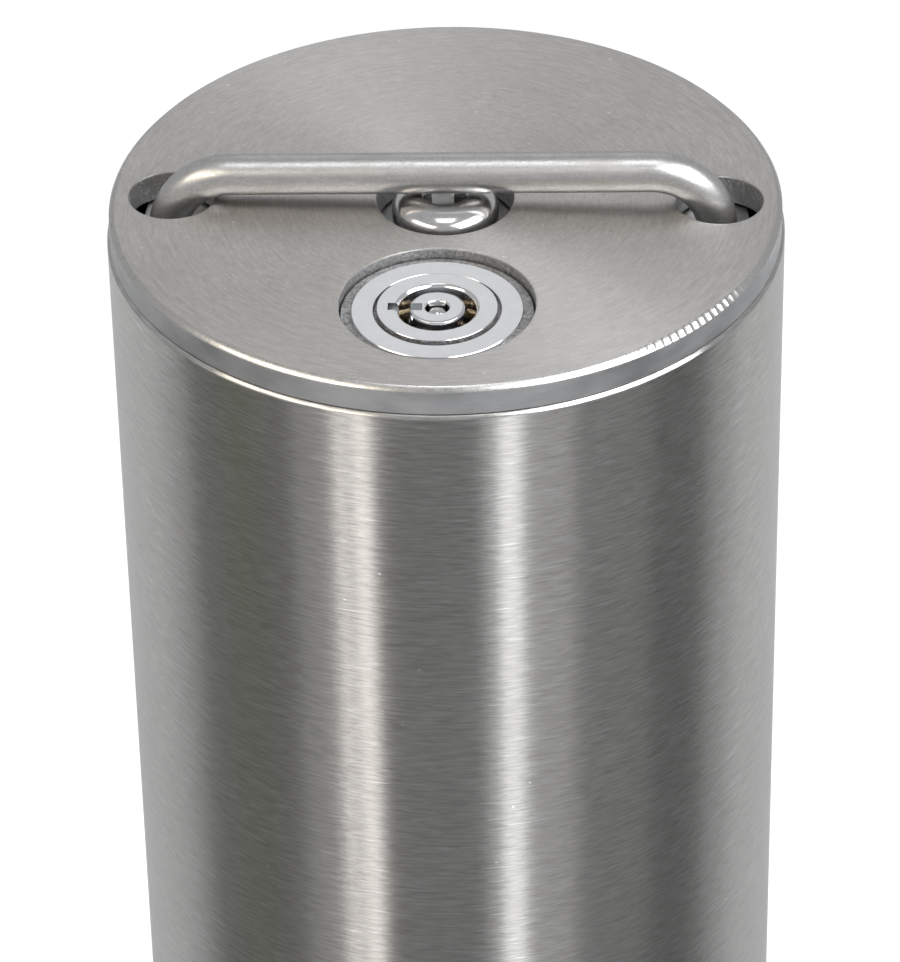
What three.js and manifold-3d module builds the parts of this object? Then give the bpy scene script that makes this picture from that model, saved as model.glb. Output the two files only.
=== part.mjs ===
// A removable steel safety bollard that locks into a ground socket.
// Millimetres, +Z up. The origin is the centre of the socket's underside.
// The post stands in the socket, a tubular-key lock in its cap turns a long rod,
// and the cam at the foot of the rod swings under the keeper ring of the socket.

import * as THREE from 'three';
import * as BufferGeometryUtils from 'three/addons/utils/BufferGeometryUtils.js';
import Module from 'manifold-3d';

const wasm = await Module();
wasm.setup();

// ---- driving dimensions ----------------------------------------------------

const gap = 0.3;                    // air left between two pieces that touch
const roundSegments = 72;           // sides on the large round pieces
const smallSegments = 28;           // sides on fasteners and small turned pieces

const groundDepth = 300;            // finished ground above the socket's underside
const postHeight = 900;             // cap face above finished ground
const capFace = groundDepth + postHeight;

const postRadius = 44.45;           // 88.9 tube
const postWall = 3;
const postBore = postRadius - postWall;

const sleeveRadius = 50.8;          // 101.6 tube
const sleeveWall = 3;
const sleeveBore = sleeveRadius - sleeveWall;
const socketBaseThickness = 5;
const drainRadius = 10;
const flangeRadius = 80;
const flangeThickness = 5;
const flangeOpening = 46;

const keeperInner = 38;
const keeperBottom = 22;
const keeperThickness = 8;
const postBottom = keeperBottom + keeperThickness + gap;

const discRadius = 44.06;
const discThickness = 4;
const discChamfer = 0.65;
const innerPlateRadius = 39.9;
const innerPlateThickness = 4;
const handleHoleRadius = 5.7;
const handleHoleOffset = 35.85;
const screwHoleRadius = 9;
const lockHoleRadius = 12.6;
const lockOffset = 24.8;            // lock axis in front of the post axis

const handleRod = 2.7;
const handleAxisHeight = 3.8;       // bar axis above the cap face, at the middle of the bar
const handleBend = 8.5;
const handleLegs = [-36.5, 35.5];
const handleTravel = 35;
const handleTilt = -1.05 * (Math.PI / 180);   // the handle rests askew: its left leg lies deeper

const lockFaceDrop = 1;             // lock flange below the cap face
const lockBossRise = 0.35;          // middle of the lock face above its flange
const lockCollarRadius = 12.3;      // rough collar of the lock case, which fills its hole
const lockFlangeRadius = 11;
const lockBarrelRadius = 9.5;
const lockBarrelLength = 25;
const keyWayOuter = 5;
const keyWayInner = 3.6;
const keyWayDepth = 13;
const keyPinCount = 7;
const keyPinRadius = 0.5;

const rodRadius = 5;
const camThickness = 6;
const camReach = 19;
const bridgeTop = capFace - 60;
const bridgeThickness = 8;
const footThickness = 6;

// ---- finishes --------------------------------------------------------------

const finish = (color, roughness, metalness = 1) => ({ color, roughness, metalness });

const brushedSteel = finish(0xa6a39e, 0.34);
const groundSteel = finish(0xb0ada8, 0.42);
const satinSteel = finish(0xbab8b4, 0.3);
const polishedSteel = finish(0xd4d4d2, 0.08);
const lockChrome = finish(0xd8d8d6, 0.18);
const zincSteel = finish(0x9a9c9e, 0.45);
const brass = finish(0x9a7a48, 0.35);
const darkPlastic = finish(0x26282a, 0.6, 0);

// ---- helpers ---------------------------------------------------------------

// A solid of revolution about Z; the outline is [radius, height] pairs, counter-clockwise.
function turned(outline, segments = smallSegments) {
  const points = outline.map(([radius, height]) => new THREE.Vector2(radius, height));
  return new THREE.LatheGeometry(points, segments).rotateX(Math.PI / 2);
}

function rod(radius, bottom, top, segments = smallSegments) {
  return turned([[0, bottom], [radius, bottom], [radius, top], [0, top]], segments);
}

function ring(inner, outer, bottom, top, segments = smallSegments) {
  const outline = [[inner, bottom], [outer, bottom], [outer, top], [inner, top], [inner, bottom]];
  return turned(outline, segments);
}

// A bush with a flange that rests on the plate at `seat`, its body hanging below.
function flangedBush(bore, body, flange, seat, bodyLength, flangeThickness) {
  return turned([
    [bore, seat - bodyLength], [body, seat - bodyLength], [body, seat + gap],
    [flange, seat + gap], [flange, seat + gap + flangeThickness],
    [bore, seat + gap + flangeThickness], [bore, seat - bodyLength],
  ]);
}

function circle(radius, x = 0, y = 0) {
  const path = new THREE.Shape();
  path.absarc(x, y, radius, 0, 2 * Math.PI, false);
  return path;
}

function polygon(acrossFlats, sides = 6) {
  const shape = new THREE.Shape();
  const corner = acrossFlats / 2 / Math.cos(Math.PI / sides);
  for (let i = 0; i < sides; i += 1) {
    const angle = (2 * Math.PI * i) / sides;
    const point = [corner * Math.cos(angle), corner * Math.sin(angle)];
    if (i === 0) shape.moveTo(...point);
    else shape.lineTo(...point);
  }
  shape.closePath();
  return shape;
}

// A flat plate from `bottom` to `top`, with the given holes cut through it.
function plate(outline, holes, bottom, top, curveSegments = 24) {
  outline.holes.push(...holes);
  const settings = { depth: top - bottom, bevelEnabled: false, curveSegments };
  return new THREE.ExtrudeGeometry(outline, settings).translate(0, 0, bottom);
}

function nut(acrossFlats, bore, bottom, top) {
  return plate(polygon(acrossFlats), [circle(bore)], bottom, top, 12);
}

// A round bar lying along X, for cross holes and cross pins.
function crossBar(radius, length, height, segments = 16) {
  return new THREE.CylinderGeometry(radius, radius, length, segments)
    .rotateZ(Math.PI / 2)
    .translate(0, 0, height);
}

function toSolid(geometry) {
  const bare = geometry.clone();
  bare.deleteAttribute('normal');
  bare.deleteAttribute('uv');
  const merged = BufferGeometryUtils.mergeVertices(bare);
  return new wasm.Manifold(new wasm.Mesh({
    numProp: 3,
    vertProperties: new Float32Array(merged.attributes.position.array),
    triVerts: new Uint32Array(merged.index.array),
  }));
}

function toGeometry(solid) {
  const mesh = solid.getMesh();
  const geometry = new THREE.BufferGeometry();
  geometry.setAttribute('position', new THREE.BufferAttribute(mesh.vertProperties, 3));
  geometry.setIndex(new THREE.BufferAttribute(mesh.triVerts, 1));
  geometry.computeVertexNormals();
  return geometry;
}

function cut(geometry, ...tools) {
  let solid = toSolid(geometry);
  for (const tool of tools) solid = solid.subtract(toSolid(tool));
  return toGeometry(solid);
}

function common(first, second) {
  return toGeometry(toSolid(first).intersect(toSolid(second)));
}

function piece(name, geometry, look, x = 0, y = 0, z = 0) {
  const mesh = new THREE.Mesh(geometry, new THREE.MeshStandardMaterial(look));
  mesh.name = name;
  mesh.position.set(x, y, z);
  return mesh;
}

function assembly(...pieces) {
  const group = new THREE.Group();
  group.add(...pieces);
  return group;
}

// ---- ground socket ---------------------------------------------------------

// One leg of flat bar lies against the sleeve and the other reaches into the concrete.
function anchorLug() {
  const width = 25;
  const thickness = 5;
  const drop = 45;
  const reach = 24;
  const side = new THREE.Shape();
  side.moveTo(0, 0);
  side.lineTo(reach, 0);
  side.lineTo(reach, thickness);
  side.lineTo(thickness, thickness);
  side.lineTo(thickness, drop);
  side.lineTo(0, drop);
  side.closePath();
  const settings = { depth: width, bevelEnabled: false };
  return new THREE.ExtrudeGeometry(side, settings)
    .translate(0, 0, -width / 2)
    .rotateX(Math.PI / 2);
}

function groundSocket() {
  const flangeBottom = groundDepth - flangeThickness;
  const sleeveBottom = socketBaseThickness + gap;
  const sleeveTop = flangeBottom - gap;
  const linerInner = postRadius + gap;
  const linerOuter = sleeveBore - gap;
  const keeperOuter = sleeveBore - gap;
  const keeperTop = keeperBottom + keeperThickness;

  const base = plate(circle(sleeveRadius), [circle(drainRadius)], 0, socketBaseThickness, 36);
  const sleeve = ring(sleeveBore, sleeveRadius, sleeveBottom, sleeveTop, roundSegments);
  const keeper = ring(keeperInner, keeperOuter, keeperBottom, keeperTop, roundSegments);
  const flange = ring(flangeOpening, flangeRadius, flangeBottom, groundDepth, roundSegments);
  const upperLiner = ring(linerInner, linerOuter, sleeveTop - 40, sleeveTop - 1, roundSegments);
  const lowerLiner = ring(linerInner, linerOuter, 60, 90, roundSegments);

  const socket = assembly(
    piece('socket_base', base, zincSteel),
    piece('socket_sleeve', sleeve, zincSteel),
    piece('keeper_ring', keeper, groundSteel),
    piece('ground_flange', flange, brushedSteel),
    piece('upper_liner', upperLiner, darkPlastic),
    piece('lower_liner', lowerLiner, darkPlastic),
  );

  const lugCount = 3;
  for (let i = 0; i < lugCount; i += 1) {
    const turn = new THREE.Group();
    turn.rotation.z = (2 * Math.PI * (i + 0.25)) / lugCount;
    turn.add(piece(`anchor_lug_${i + 1}`, anchorLug(), zincSteel, sleeveRadius + gap, 0, 120));
    socket.add(turn);
  }
  return socket;
}

// ---- post ------------------------------------------------------------------

function topDisc() {
  const holes = [
    circle(screwHoleRadius),
    circle(lockHoleRadius, 0, -lockOffset),
    circle(handleHoleRadius, handleHoleOffset),
    circle(handleHoleRadius, -handleHoleOffset),
  ];
  const drilled = plate(circle(discRadius + 1), holes, -discThickness, 0, 20);
  const rim = turned([
    [0, -discThickness], [discRadius, -discThickness], [discRadius, -discChamfer],
    [discRadius - discChamfer, 0], [0, 0],
  ], roundSegments);
  return common(rim, drilled);
}

function innerPlate() {
  const top = -discThickness - gap;
  const holes = [
    circle(4.5),
    circle(lockBarrelRadius + gap, 0, -lockOffset),
    ...handleLegs.map((x) => circle(handleRod + gap, x + top * Math.sin(handleTilt))),
  ];
  return plate(circle(innerPlateRadius), holes, top - innerPlateThickness, top, 24);
}

// A flat bar across the bore, rounded at both ends to the tube.
function bridgeBar() {
  const halfWidth = 15;
  const reach = postBore - gap;
  const corner = Math.acos(halfWidth / reach);
  const outline = new THREE.Shape();
  outline.absarc(0, 0, reach, corner, Math.PI - corner, false);
  outline.absarc(0, 0, reach, Math.PI + corner, 2 * Math.PI - corner, false);
  outline.closePath();
  const holes = [circle(4 + gap), circle(7.3, 0, -lockOffset)];
  return plate(outline, holes, bridgeTop - bridgeThickness, bridgeTop, 12);
}

// Socket screw: round head 14 across and 4.8 high with a domed top, 5 mm hexagon socket.
function centreScrew(underHead) {
  const headRadius = 7;
  const headHeight = 4.8;
  const rim = 2.7;
  const flat = 3.6;
  const shankBottom = bridgeTop - bridgeThickness - 4 - capFace;
  const dome = [];
  for (let i = 1; i <= 6; i += 1) {
    const angle = (i / 6) * (Math.PI / 2);
    dome.push([
      flat + (headRadius - flat) * Math.cos(angle),
      underHead + rim + (headHeight - rim) * Math.sin(angle),
    ]);
  }
  const body = turned([
    [0, shankBottom], [3.6, shankBottom], [4, shankBottom + 0.8], [4, underHead],
    [headRadius, underHead], [headRadius, underHead + rim], ...dome,
    [0, underHead + headHeight],
  ]);
  return cut(body, plate(polygon(5), [], underHead + 1.6, underHead + headHeight + 1));
}

function lockBody() {
  const face = -lockFaceDrop;
  const boss = face + lockBossRise;
  const seat = -discThickness;
  const bottom = face - lockBarrelLength;
  const bore = keyWayOuter;
  const body = turned([
    [bore, bottom], [lockBarrelRadius, bottom], [lockBarrelRadius, seat],
    [lockCollarRadius, seat], [lockCollarRadius, face - 0.5], [lockFlangeRadius, face - 0.5],
    [lockFlangeRadius, face - 0.2], [lockFlangeRadius - 0.2, face], [8.3, face],
    [8.2, face - 0.5], [7.75, face - 0.5], [7.65, boss], [bore + 0.4, boss],
    [bore, boss - 0.4], [bore, bottom],
  ], 40);
  const keyNotch = new THREE.BoxGeometry(2.4, 1.55, 5).translate(-5.1, 0, face - 2);
  return cut(body, keyNotch);
}

function postAssembly() {
  const tubeTop = capFace - discThickness - 0.4;
  const innerPlateTop = -discThickness - gap;
  const nutTop = innerPlateTop - innerPlateThickness - gap;
  const footTop = postBottom + footThickness;
  const footHoles = [circle(7.3, 0, -lockOffset), circle(8, 0, 15), circle(6, 22, 0), circle(6, -22, 0)];
  const foot = plate(circle(postBore - gap), footHoles, postBottom, footTop, 30);

  const body = assembly(
    piece('post_tube', ring(postBore, postRadius, postBottom, tubeTop, roundSegments), brushedSteel),
    piece('foot_plate', foot, zincSteel),
    piece('bridge_bar', bridgeBar(), zincSteel),
  );

  const cap = assembly(
    piece('top_disc', topDisc(), groundSteel),
    piece('inner_plate', innerPlate(), zincSteel),
    piece('centre_screw', centreScrew(-discThickness), polishedSteel),
  );
  cap.position.z = capFace;

  const lock = assembly(
    piece('lock_body', lockBody(), lockChrome),
    piece('lock_nut', nut(24, lockBarrelRadius + gap, nutTop - 4, nutTop), zincSteel),
  );
  lock.position.set(0, -lockOffset, capFace);

  const bushes = assembly(
    piece('upper_bush', flangedBush(rodRadius + gap, 7, 9, bridgeTop, 8.5, 1.5), darkPlastic),
    piece('lower_bush', flangedBush(rodRadius + gap, 7, 9.5, footTop, 6.3, 1.5), darkPlastic),
  );
  bushes.position.y = -lockOffset;

  return assembly(body, cap, lock, bushes);
}

// ---- lock core, rod and cam ------------------------------------------------

// The centre post of the key way, its pin carrier and the tail that drives the rod.
function lockSpindle() {
  const face = -lockFaceDrop + lockBossRise;
  const carrierTop = -lockFaceDrop - keyWayDepth;
  const carrierBottom = -lockFaceDrop - lockBarrelLength + 0.5;
  const tailBottom = -38;
  const body = turned([
    [0, tailBottom], [3, tailBottom], [3, carrierBottom], [keyWayOuter - gap, carrierBottom],
    [keyWayOuter - gap, carrierTop], [keyWayInner, carrierTop], [keyWayInner, face - 0.3],
    [keyWayInner - 0.3, face], [1.5, face], [1.5, face - 5], [0, face - 5],
  ]);
  const innerNotch = new THREE.BoxGeometry(2.2, 1.55, 4).translate(-3, 0, face - 1.5);
  return cut(body, innerNotch, crossBar(1.3, 12, -34));
}

function rodCoupling() {
  const top = -29;
  const bottom = -53;
  const step = -39;
  const body = turned([
    [rodRadius + gap, bottom], [7.5, bottom], [7.5, top], [3.3, top], [3.3, step],
    [rodRadius + gap, step], [rodRadius + gap, bottom],
  ]);
  return cut(body, crossBar(1.3, 18, -34), crossBar(1.8, 18, -46));
}

// A long bar with a cross hole at its top and an M8 stud at its foot.
function lockRod(camTop) {
  const top = capFace - 40;
  const studBottom = 7;
  const shoulder = camTop + gap;
  const body = turned([
    [0, studBottom], [3.5, studBottom], [4, studBottom + 0.6], [4, shoulder],
    [rodRadius, shoulder], [rodRadius, top], [0, top],
  ]);
  return cut(body, crossBar(1.8, 12, capFace - 46));
}

// A hub with one arm along +X, which turns to -Y under the keeper ring.
function lockCam(camTop) {
  const hub = 8;
  const halfWidth = 5;
  const tip = 2;
  const neck = Math.asin(halfWidth / hub);
  const outline = new THREE.Shape();
  outline.absarc(0, 0, hub, neck, 2 * Math.PI - neck, false);
  outline.lineTo(camReach - tip, -halfWidth);
  outline.absarc(camReach - tip, -halfWidth + tip, tip, -Math.PI / 2, 0, false);
  outline.absarc(camReach - tip, halfWidth - tip, tip, 0, Math.PI / 2, false);
  outline.closePath();
  return plate(outline, [circle(4 + gap)], camTop - camThickness, camTop, 10);
}

function rodCollar(bottom) {
  const height = 8;
  const body = ring(rodRadius + gap, 10, bottom, bottom + height);
  const screwHole = new THREE.CylinderGeometry(2.5, 2.5, 8, 16).translate(0, 8, 0);
  screwHole.translate(0, 0, bottom + height / 2);
  return cut(body, screwHole);
}

function lockTrain() {
  const camTop = keeperBottom - 0.8;
  const nutTop = camTop - camThickness - gap;
  const collarBottom = postBottom + footThickness + gap + 1.5 + gap;
  const socketScrew = cut(
    new THREE.CylinderGeometry(2.2, 2.2, 4.4, 16),
    plate(polygon(2.5), [], 0, 3).rotateX(-Math.PI / 2),
  );

  const core = assembly(
    piece('lock_spindle', lockSpindle(), lockChrome),
    piece('spindle_pin', rod(1.2, -5.2, -1), brass),
    piece('rod_coupling', rodCoupling(), zincSteel),
    piece('coupling_pin_1', crossBar(1, 14, -34), zincSteel),
    piece('coupling_pin_2', crossBar(1.5, 14, -46), zincSteel),
  );
  core.position.z = capFace;

  const train = assembly(
    core,
    piece('lock_rod', lockRod(camTop), zincSteel),
    piece('rod_collar', rodCollar(collarBottom), zincSteel),
    piece('collar_screw', socketScrew, zincSteel, 0, rodRadius + gap + 2.2, collarBottom + 4),
    piece('lock_cam', lockCam(camTop), zincSteel),
    piece('cam_nut', nut(13, 4 + gap, nutTop - 6.5, nutTop), zincSteel),
  );
  train.position.y = -lockOffset;
  return train;
}

// Seven pins stand in the key way; the eighth place is the key's notch, toward -X.
function keyPins() {
  const circleRadius = (keyWayOuter + keyWayInner) / 2;
  const places = keyPinCount + 1;
  const pins = new THREE.Group();
  for (let i = 1; i <= keyPinCount; i += 1) {
    const angle = Math.PI + (2 * Math.PI * i) / places;
    const x = circleRadius * Math.cos(angle);
    const y = circleRadius * Math.sin(angle);
    pins.add(piece(`key_pin_${i}`, rod(keyPinRadius, -9, -3.4, 12), brass, x, y, 0));
  }
  pins.position.set(0, -lockOffset, capFace);
  return pins;
}

// ---- lifting handle --------------------------------------------------------

function handleBar(legBottom) {
  const [left, right] = handleLegs;
  const bendTop = handleAxisHeight;
  const bendStart = bendTop - handleBend;
  const point = (x, z) => new THREE.Vector3(x, 0, z);
  // A quarter circle starting at `from`, turning toward `to` about their shared centre.
  const quarter = (from, to, centre) => {
    const arc = new THREE.CurvePath();
    const steps = 6;
    let last = from;
    for (let i = 1; i <= steps; i += 1) {
      const angle = (i / steps) * (Math.PI / 2);
      const next = centre.clone()
        .addScaledVector(from.clone().sub(centre), Math.cos(angle))
        .addScaledVector(to.clone().sub(centre), Math.sin(angle));
      arc.add(new THREE.LineCurve3(last, next));
      last = next;
    }
    return arc.curves;
  };
  const path = new THREE.CurvePath();
  path.add(new THREE.LineCurve3(point(left, legBottom), point(left, bendStart)));
  path.curves.push(...quarter(
    point(left, bendStart), point(left + handleBend, bendTop), point(left + handleBend, bendStart),
  ));
  path.add(new THREE.LineCurve3(
    point(left + handleBend, bendTop), point(right - handleBend, bendTop),
  ));
  path.curves.push(...quarter(
    point(right - handleBend, bendTop), point(right, bendStart), point(right - handleBend, bendStart),
  ));
  path.add(new THREE.LineCurve3(point(right, bendStart), point(right, legBottom)));
  const settings = { steps: 76, extrudePath: path, curveSegments: 4 };
  return new THREE.ExtrudeGeometry(circle(handleRod), settings);
}

function liftingHandle() {
  const innerPlateBottom = -discThickness - gap - innerPlateThickness;
  const tiltDrop = 1;               // the higher washer meets the plate first
  const washerTop = innerPlateBottom - handleTravel - tiltDrop;
  const washerThickness = 1;
  const nutTop = washerTop - washerThickness - gap;
  const nutBottom = nutTop - 4;
  const handle = assembly(piece('handle', handleBar(nutBottom - 3), satinSteel));
  handleLegs.forEach((x, i) => {
    const bore = handleRod + gap;
    const washer = ring(bore, 5, washerTop - washerThickness, washerTop, 20);
    handle.add(piece(`handle_washer_${i + 1}`, washer, zincSteel, x));
    handle.add(piece(`handle_nut_${i + 1}`, nut(8.5, bore, nutBottom, nutTop), zincSteel, x));
  });
  handle.rotation.y = handleTilt;
  handle.position.z = capFace;
  return handle;
}

export default assembly(groundSocket(), postAssembly(), lockTrain(), keyPins(), liftingHandle());
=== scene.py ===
"""The looks of a removable steel bollard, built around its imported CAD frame."""
import math
import random

import bmesh
import bpy
from mathutils import Matrix, Vector
from mathutils.geometry import tessellate_polygon


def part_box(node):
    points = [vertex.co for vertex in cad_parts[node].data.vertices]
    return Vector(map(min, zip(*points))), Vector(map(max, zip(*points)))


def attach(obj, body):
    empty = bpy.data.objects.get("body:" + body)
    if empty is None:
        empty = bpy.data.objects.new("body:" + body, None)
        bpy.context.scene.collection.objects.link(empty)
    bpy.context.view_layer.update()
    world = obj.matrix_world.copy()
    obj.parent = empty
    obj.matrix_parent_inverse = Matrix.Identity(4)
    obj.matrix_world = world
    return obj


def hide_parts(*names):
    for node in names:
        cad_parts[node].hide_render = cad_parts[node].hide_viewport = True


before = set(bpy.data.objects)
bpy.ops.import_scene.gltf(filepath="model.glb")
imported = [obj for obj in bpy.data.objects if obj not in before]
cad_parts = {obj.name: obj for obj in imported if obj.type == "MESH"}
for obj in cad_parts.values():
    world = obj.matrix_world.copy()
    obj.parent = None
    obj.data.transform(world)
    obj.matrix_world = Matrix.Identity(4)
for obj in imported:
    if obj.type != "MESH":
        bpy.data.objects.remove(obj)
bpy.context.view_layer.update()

MM = 0.001
FULL_TURN = 2 * math.pi


# ---- places read from the frame ---------------------------------------------

def low(node):
    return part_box(node)[0]


def high(node):
    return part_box(node)[1]


def centre(node):
    return (low(node) + high(node)) / 2


def heights(node):
    return low(node).z, high(node).z


CAP = high("top_disc").z                 # the face of the cap
LOCK = centre("lock_body")               # the lock's axis
WASHERS = [centre("handle_washer_1"), centre("handle_washer_2")]
ROD = high("handle").y                   # radius of the handle's bar
SKEW = (WASHERS[1].z - WASHERS[0].z) / (WASHERS[1].x - WASHERS[0].x)
TILT = math.atan(SKEW)                   # the handle rests askew

# Sizes that a node's box doesn't give. Holes and bores are radii.
CENTRE_HOLE = 9 * MM
LOCK_HOLE = 12.6 * MM
HANDLE_HOLE = 5.7 * MM
HANDLE_HOLE_X = 35.85 * MM
LOCK_BORE = 9.8 * MM                     # in the inner plate and the lock's nut
LEG_BORE = ROD + 0.3 * MM                # around the handle's legs
ROD_PASSAGE = 7.3 * MM                   # in the bridge bar and the foot plate
ROD_BORE = 5.3 * MM                      # in the rod's bushes, collar and coupling
THREAD_HOLE = 4.3 * MM                   # for the screw and for the rod's stud
NOTCH_SIDE = 0.78 * MM                   # half the width of the lock's notches
NOTCH_DEPTH = 2 * MM


# ---- mesh building ----------------------------------------------------------

class Shape:
    """Points and faces gathered for one mesh, in metres."""

    def __init__(self):
        self.points = []
        self.faces = []
        self.looks = []

    def ring(self, points):
        first = len(self.points)
        self.points.extend(Vector(p) for p in points)
        return list(range(first, len(self.points)))

    def face(self, corners, look=0):
        self.faces.append(corners)
        self.looks.append(look)

    def bridge(self, a, b, look=0):
        for i in range(len(a)):
            j = (i + 1) % len(a)
            self.face((a[i], a[j], b[j], b[i]), look)

    def fan(self, ring, apex, look=0):
        for i in range(len(ring)):
            self.face((ring[i], ring[(i + 1) % len(ring)], apex), look)

    def fill(self, rings, look=0):
        """A flat face inside the first ring and outside the others."""
        loops = [[self.points[i] for i in ring] for ring in rings]
        flat = [i for ring in rings for i in ring]
        for triangle in tessellate_polygon(loops):
            self.face(tuple(flat[i] for i in triangle), look)

    def mesh(self, name, materials, sharp=32):
        data = bpy.data.meshes.new(name)
        data.from_pydata([tuple(p) for p in self.points], [], self.faces)
        for polygon, look in zip(data.polygons, self.looks):
            polygon.material_index = look
        work = bmesh.new()
        work.from_mesh(data)
        bmesh.ops.remove_doubles(work, verts=work.verts, dist=1e-7)
        bmesh.ops.recalc_face_normals(work, faces=work.faces)
        work.to_mesh(data)
        work.free()
        for material in materials:
            data.materials.append(material)
        data.shade_smooth()
        data.set_sharp_from_angle(angle=math.radians(sharp))
        return data


def circle_points(x, y, radius, z, segments, start=0.0):
    points = []
    for i in range(segments):
        angle = start + FULL_TURN * i / segments
        points.append((x + radius * math.cos(angle), y + radius * math.sin(angle), z))
    return points


def eased(profile, ease, closed=True, steps=3):
    """The profile with its corners rounded to about `ease`, and a support point beside each."""
    count = len(profile)
    result = []
    for i, corner in enumerate(profile):
        on_end = not closed and i in (0, count - 1)
        if on_end or corner[0] <= 0:
            result.append(tuple(corner))
            continue
        here = Vector(corner)
        before = Vector(profile[i - 1]) - here
        after = Vector(profile[(i + 1) % count]) - here
        reach = min(ease, 0.3 * before.length, 0.3 * after.length)
        start = here + before.normalized() * reach
        end = here + after.normalized() * reach
        result.append(tuple(here + before.normalized() * reach * 1.5))
        for k in range(steps + 1):
            u = k / steps
            point = start * (1 - u) ** 2 + here * 2 * u * (1 - u) + end * u ** 2
            result.append(tuple(point))
        result.append(tuple(here + after.normalized() * reach * 1.5))
    return result


def turned(profile, x=0.0, y=0.0, segments=96, closed=True, looks=None):
    """The shape of (radius, height) pairs revolved about the upright axis at x, y."""
    shape = Shape()
    rings = []
    for radius, z in profile:
        if radius <= 1e-9:
            rings.append(shape.ring([(x, y, z)]))
        else:
            rings.append(shape.ring(circle_points(x, y, radius, z, segments)))
    pairs = list(zip(rings, rings[1:]))
    if closed:
        pairs.append((rings[-1], rings[0]))
    for i, (a, b) in enumerate(pairs):
        look = looks(i) if looks else 0
        if len(a) == 1 and len(b) == 1:
            continue
        if len(a) == 1:
            shape.fan(b, a[0], look)
        elif len(b) == 1:
            shape.fan(a, b[0], look)
        else:
            shape.bridge(a, b, look)
    return shape


def band(node, inner, outer):
    """The section of a plain ring of its node's height."""
    bottom, top = heights(node)
    return [(inner, bottom), (outer, bottom), (outer, top), (inner, top)]


def plate(node, outer, holes, ease, wall_look=0):
    """A flat plate of its node's height. Outer and holes give a ring of points at (inset, z)."""
    bottom, top = heights(node)
    shape = Shape()
    profile = [(2 * ease, top), (ease, top), (0.3 * ease, top - 0.3 * ease), (0, top - ease)]
    profile += [(0, top - 2 * ease), (0, bottom + 2 * ease), (0, bottom + ease)]
    profile += [(0.3 * ease, bottom + 0.3 * ease), (ease, bottom), (2 * ease, bottom)]
    tops, bottoms = [], []
    for boundary in [outer, *holes]:
        rings = [shape.ring(boundary(inset, z)) for inset, z in profile]
        for i, (a, b) in enumerate(zip(rings, rings[1:])):
            shape.bridge(a, b, wall_look if 3 <= i <= 5 else 0)
        tops.append(rings[0])
        bottoms.append(rings[-1])
    shape.fill(tops)
    shape.fill(bottoms)
    return shape


def disc_edge(radius, segments=128):
    return lambda inset, z: circle_points(0, 0, radius - inset, z, segments)


def hole_edge(radius, x=0.0, y=0.0, segments=72):
    return lambda inset, z: circle_points(x, y, radius + inset, z, segments)


def hex_edge(across, x, y):
    corner = across / math.sqrt(3)
    return lambda inset, z: circle_points(x, y, corner - inset, z, 6)


def swept(shape, path, radius, segments):
    """A round bar along a path that lies in an upright plane across Y."""
    rings = []
    for i, point in enumerate(path):
        ahead = path[min(i + 1, len(path) - 1)]
        behind = path[max(i - 1, 0)]
        along = (ahead - behind).normalized()
        side = Vector((0, 1, 0))
        up = side.cross(along).normalized()
        points = []
        for k in range(segments):
            angle = FULL_TURN * k / segments
            points.append(point + radius * (math.cos(angle) * side + math.sin(angle) * up))
        rings.append(shape.ring(points))
    for a, b in zip(rings, rings[1:]):
        shape.bridge(a, b)
    return rings


def placed(name, data):
    """A new object in the scene."""
    made = bpy.data.objects.new(name, data)
    bpy.context.scene.collection.objects.link(made)
    return made


def add_piece(name, data, body, nodes=()):
    piece = placed(name, data)
    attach(piece, body)
    if nodes:
        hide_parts(*nodes)


def add_shape(name, shape, materials, body, nodes=(), sharp=32):
    add_piece(name, shape.mesh(name, materials, sharp), body, nodes)


def carve(data, tools):
    """The mesh with the tool meshes cut out of it."""
    base = placed("carving", data)
    helpers = []
    for tool in tools:
        helper = placed("carving_tool", tool)
        cutter = base.modifiers.new("cut", "BOOLEAN")
        cutter.operation = "DIFFERENCE"
        cutter.solver = "EXACT"
        cutter.object = helper
        helpers.append(helper)
    depsgraph = bpy.context.evaluated_depsgraph_get()
    result = bpy.data.meshes.new_from_object(base.evaluated_get(depsgraph))
    for item in [base, *helpers]:
        bpy.data.objects.remove(item)
    return result


def column(lower, upper, material):
    """An upright column between two rings of points, for carving."""
    shape = Shape()
    rings = [shape.ring(lower), shape.ring(upper)]
    shape.bridge(*rings)
    for ring in rings:
        shape.fill([ring])
    return shape.mesh("column", [material])


def block(low_corner, high_corner, material):
    """A plain block, for carving."""
    x0, y0, z0 = low_corner
    x1, y1, z1 = high_corner
    floor = [(x0, y0), (x1, y0), (x1, y1), (x0, y1)]
    return column([(x, y, z0) for x, y in floor], [(x, y, z1) for x, y in floor], material)


def hex_column(across, bottom, top, material, turn):
    """A hexagon column on the middle axis, for carving."""
    corner = across / 2 / math.cos(math.pi / 6)
    return column(circle_points(0, 0, corner, bottom, 6, turn),
                  circle_points(0, 0, corner, top, 6, turn), material)


# ---- materials --------------------------------------------------------------

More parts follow.
